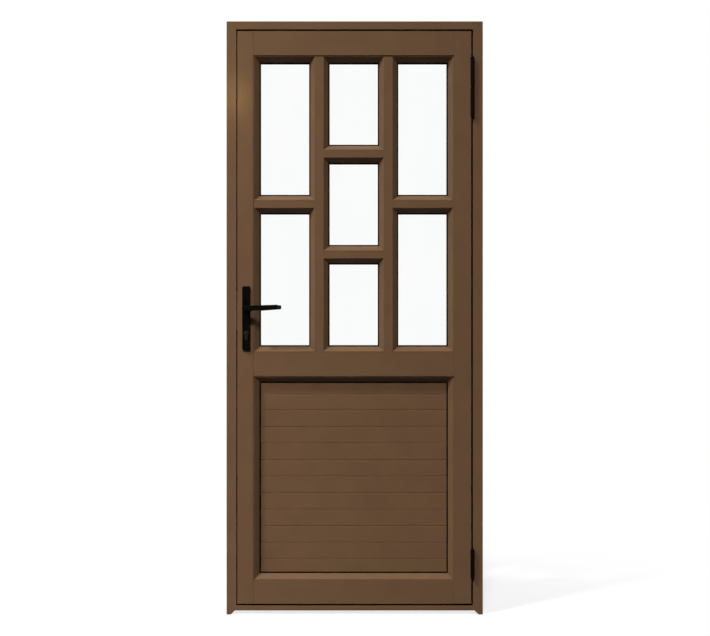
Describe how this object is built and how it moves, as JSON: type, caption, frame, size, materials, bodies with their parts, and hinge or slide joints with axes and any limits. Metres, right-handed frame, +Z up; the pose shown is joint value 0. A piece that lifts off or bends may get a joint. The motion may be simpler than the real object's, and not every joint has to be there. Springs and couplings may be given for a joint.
{
  "type": "exterior door with frame",
  "caption": "Glazed aluminium exterior door in its frame: divided panes above, a horizontally boarded panel below, barrel hinges at the right, lever handles and keyed lock at the left.",
  "frame": {"origin": "under the middle of the frame, level with the jambs' feet, at half the leaf's depth", "axes": "+X to the right as the visible face is seen, +Y from the visible face to the far face, +Z up"},
  "size_m": [0.9, 0.148, 2.083],
  "materials": {
    "brown_powder_coat": "satin bronze-brown powder coat",
    "mill_aluminium": "mill finish",
    "black_rubber": "matt",
    "clear_glass": "clear polished",
    "packer_plastic": "moulded",
    "black_powder_coat": "satin black powder coat",
    "black_painted_steel": "satin black paint",
    "zinc_plated_steel": "zinc plated",
    "nickel_plated_brass": "satin nickel plate"
  },
  "bodies": {
    "frame": {"lock_jamb": "brown_powder_coat", "hinge_jamb": "brown_powder_coat", "head": "brown_powder_coat", "threshold": "brown_powder_coat", "frame_corner_cleats": "mill_aluminium", "rebate_gasket": "black_rubber", "strike_plate": "zinc_plated_steel", "strike_screws": "zinc_plated_steel", "hinge_pins": "black_painted_steel", "hinge_frame_screws": "black_painted_steel", "top_hinge_frame_half": "black_painted_steel", "upper_hinge_frame_half": "black_painted_steel", "bottom_hinge_frame_half": "black_painted_steel"},
    "leaf": {"lock_stile": "brown_powder_coat", "hinge_stile": "brown_powder_coat", "top_rail": "brown_powder_coat", "mid_rail": "brown_powder_coat", "bottom_rail": "brown_powder_coat", "rail_cleats": "mill_aluminium", "left_glazing_bar": "brown_powder_coat", "right_glazing_bar": "brown_powder_coat", "left_crossbar": "brown_powder_coat", "right_crossbar": "brown_powder_coat", "centre_upper_crossbar": "brown_powder_coat", "centre_lower_crossbar": "brown_powder_coat", "left_upper_pane": "clear_glass", "left_lower_pane": "clear_glass", "centre_upper_pane": "clear_glass", "centre_middle_pane": "clear_glass", "centre_lower_pane": "clear_glass", "right_upper_pane": "clear_glass", "right_lower_pane": "clear_glass", "left_pane_beads": "brown_powder_coat", "centre_pane_beads": "brown_powder_coat", "right_pane_beads": "brown_powder_coat", "panel_beads": "brown_powder_coat", "front_gaskets": "black_rubber", "rear_gaskets": "black_rubber", "glazing_packers": "packer_plastic", "panel_boards": "brown_powder_coat", "top_hinge_leaf_half": "black_painted_steel", "upper_hinge_leaf_half": "black_painted_steel", "bottom_hinge_leaf_half": "black_painted_steel", "hinge_leaf_screws": "black_painted_steel", "front_handle_plate": "black_powder_coat", "rear_handle_plate": "black_powder_coat", "handle_screws": "black_painted_steel", "lock_case": "zinc_plated_steel", "lock_faceplate": "zinc_plated_steel", "lock_screws": "zinc_plated_steel", "cylinder_body": "nickel_plated_brass"},
    "levers": {"front_lever": "black_powder_coat", "rear_lever": "black_powder_coat", "spindle": "zinc_plated_steel", "follower": "zinc_plated_steel"},
    "latch": {"latch_bolt": "zinc_plated_steel"},
    "key": {"cylinder_plugs": "nickel_plated_brass", "cylinder_cam": "zinc_plated_steel"},
    "bolt": {"dead_bolt": "zinc_plated_steel"}
  },
  "joints": [
    {"name": "leaf_swing", "type": "hinge", "parent": "frame", "child": "leaf", "pos_m": [0.4126, -0.03, 1], "axis": [0, 0, 1], "range_deg": [0, 170]},
    {"name": "lever_turn", "type": "hinge", "parent": "leaf", "child": "levers", "pos_m": [-0.3804, 0, 1.074], "axis": [0, 1, 0], "range_deg": [0, 40], "stiffness_Nm_per_rad": 1.5, "springref_deg": -28.65},
    {"name": "latch_slide", "type": "slide", "parent": "leaf", "child": "latch", "axis": [1, 0, 0], "range_m": [0, 0.012]},
    {"name": "key_turn", "type": "hinge", "parent": "leaf", "child": "key", "pos_m": [-0.3804, 0, 0.989], "axis": [0, 1, 0], "range_deg": [0, 360]},
    {"name": "bolt_slide", "type": "slide", "parent": "leaf", "child": "bolt", "axis": [-1, 0, 0], "range_m": [0, 0.015]}
  ],
  "couplings": [
    {"joint": "latch_slide", "follows": "lever_turn", "m_per_rad": 0.017188},
    {"joint": "key_turn", "follows": "bolt_slide", "rad_per_m": 418.87}
  ]
}
